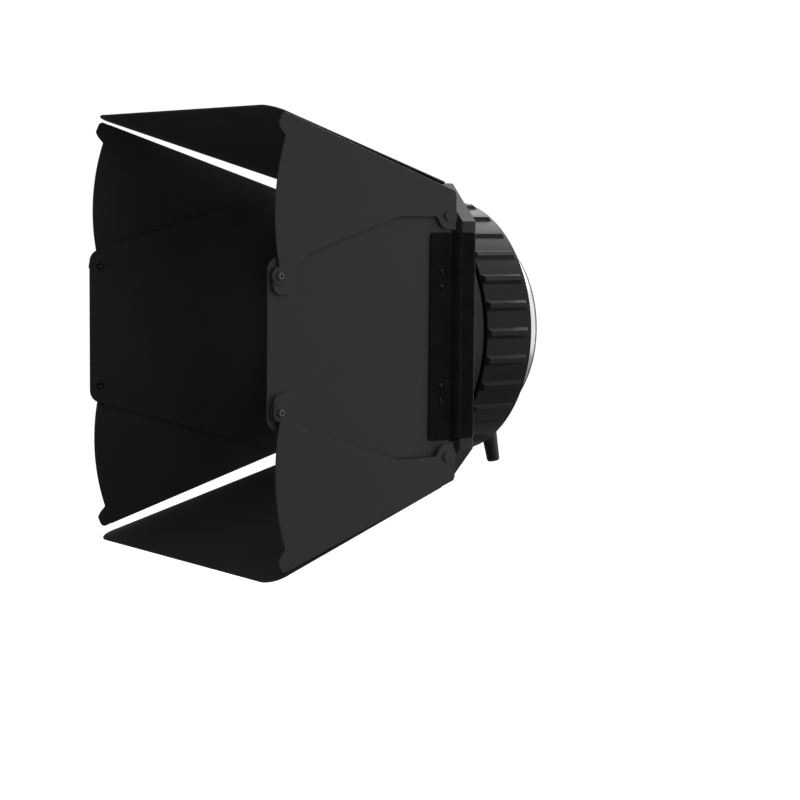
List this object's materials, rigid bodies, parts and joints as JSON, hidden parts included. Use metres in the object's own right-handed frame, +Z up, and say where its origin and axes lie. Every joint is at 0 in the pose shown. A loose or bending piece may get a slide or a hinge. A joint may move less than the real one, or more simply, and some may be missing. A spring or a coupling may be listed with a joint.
{
  "type": "barn door attachment",
  "caption": "Barn door light attachment: hinged leaves with folding side wings on a chamfered square frame that turns in a ribbed ring with a bayonet mount.",
  "frame": {"origin": "centre of the bore that slides onto the lamp nose", "axes": "+Z up, Y along the optical axis with the light leaving towards -Y, +X towards the near side door"},
  "size_m": [0.3223, 0.3489, 0.3992],
  "materials": {
    "door_coat": "satin black powder coat on aluminium sheet",
    "frame_coat": "satin charcoal powder coat on aluminium",
    "grip_black": "moulded black grip, satin",
    "bare_aluminium": "turned bright aluminium",
    "inner_black": "black anodised",
    "hinge_black": "black steel, satin",
    "steel": "plain steel",
    "guide_steel": "dark nickel, glossy",
    "lever_black": "black anodised",
    "fastener_black": "blackened steel",
    "slip_plastic": "black low-friction plastic"
  },
  "bodies": {
    "mount": {"mount_tube": "bare_aluminium", "lock_clip": "steel", "flange_screws": "steel", "bearing_housing": "inner_black", "grip_ring": "grip_black", "grip_screws": "fastener_black", "drag_ring": "slip_plastic"},
    "lock": {"lock_ring": "inner_black", "lock_lever": "lever_black"},
    "head": {"frame": "frame_coat", "frame_screws": "fastener_black", "collar": "frame_coat", "bearing_band": "slip_plastic", "retainer_ring": "inner_black", "retainer_screws": "fastener_black", "plate_screws": "hinge_black", "near_frame_hinge": "hinge_black", "near_hinge_pin": "hinge_black", "far_frame_hinge": "hinge_black", "far_hinge_pin": "hinge_black", "top_frame_hinge": "hinge_black", "top_hinge_pin": "hinge_black", "bottom_frame_hinge": "hinge_black", "bottom_hinge_pin": "hinge_black"},
    "near_door": {"near_panel": "door_coat", "near_door_hinge": "hinge_black", "near_hinge_washers": "hinge_black", "near_door_screws": "fastener_black", "near_door_nuts": "fastener_black", "near_wing_pivots": "door_coat", "near_slip_washers": "slip_plastic", "near_guide_screws": "guide_steel", "near_guide_washers": "door_coat", "near_guide_nuts": "fastener_black"},
    "far_door": {"far_panel": "door_coat", "far_door_hinge": "hinge_black", "far_hinge_washers": "hinge_black", "far_door_screws": "fastener_black", "far_door_nuts": "fastener_black", "far_wing_pivots": "door_coat", "far_slip_washers": "slip_plastic", "far_guide_screws": "guide_steel", "far_guide_washers": "door_coat", "far_guide_nuts": "fastener_black"},
    "top_door": {"top_panel": "door_coat", "top_door_hinge": "hinge_black", "top_hinge_washers": "hinge_black", "top_door_screws": "fastener_black", "top_door_nuts": "fastener_black"},
    "bottom_door": {"bottom_panel": "door_coat", "bottom_door_hinge": "hinge_black", "bottom_hinge_washers": "hinge_black", "bottom_door_screws": "fastener_black", "bottom_door_nuts": "fastener_black"},
    "near_upper_wing": {"near_upper_wing": "door_coat"},
    "near_lower_wing": {"near_lower_wing": "door_coat"},
    "far_upper_wing": {"far_upper_wing": "door_coat"},
    "far_lower_wing": {"far_lower_wing": "door_coat"}
  },
  "joints": [
    {"name": "lock_turn", "type": "hinge", "parent": "mount", "child": "lock", "pos_m": [0, 0.0215, 0], "axis": [0, 1, 0], "range_deg": [0, 28]},
    {"name": "head_turn", "type": "hinge", "parent": "mount", "child": "head", "pos_m": [0, -0.08, 0], "axis": [0, 1, 0], "continuous": true},
    {"name": "near_door_hinge", "type": "hinge", "parent": "head", "child": "near_door", "pos_m": [0.13675, -0.102, 0], "axis": [0, 0, 1], "range_deg": [-18, 108.5]},
    {"name": "far_door_hinge", "type": "hinge", "parent": "head", "child": "far_door", "pos_m": [-0.13675, -0.102, 0], "axis": [0, 0, -1], "range_deg": [-15.5, 111]},
    {"name": "top_door_hinge", "type": "hinge", "parent": "head", "child": "top_door", "pos_m": [0, -0.102, 0.13675], "axis": [-1, 0, 0], "range_deg": [0, 98]},
    {"name": "bottom_door_hinge", "type": "hinge", "parent": "head", "child": "bottom_door", "pos_m": [0, -0.102, -0.13675], "axis": [1, 0, 0], "range_deg": [0, 97]},
    {"name": "near_upper_wing_pivot", "type": "hinge", "parent": "near_door", "child": "near_upper_wing", "pos_m": [0.13824, -0.11511, 0.107], "axis": [0.9936, 0.1132, 0], "range_deg": [0, 33]},
    {"name": "near_lower_wing_pivot", "type": "hinge", "parent": "near_door", "child": "near_lower_wing", "pos_m": [0.13824, -0.11511, -0.107], "axis": [-0.9936, -0.1132, 0], "range_deg": [0, 33]},
    {"name": "far_lower_wing_pivot", "type": "hinge", "parent": "far_door", "child": "far_lower_wing", "pos_m": [-0.13746, -0.11518, -0.107], "axis": [-0.9985, 0.0541, 0], "range_deg": [0, 33]},
    {"name": "far_upper_wing_pivot", "type": "hinge", "parent": "far_door", "child": "far_upper_wing", "pos_m": [-0.13746, -0.11518, 0.107], "axis": [0.9985, -0.0541, 0], "range_deg": [0, 33]}
  ]
}
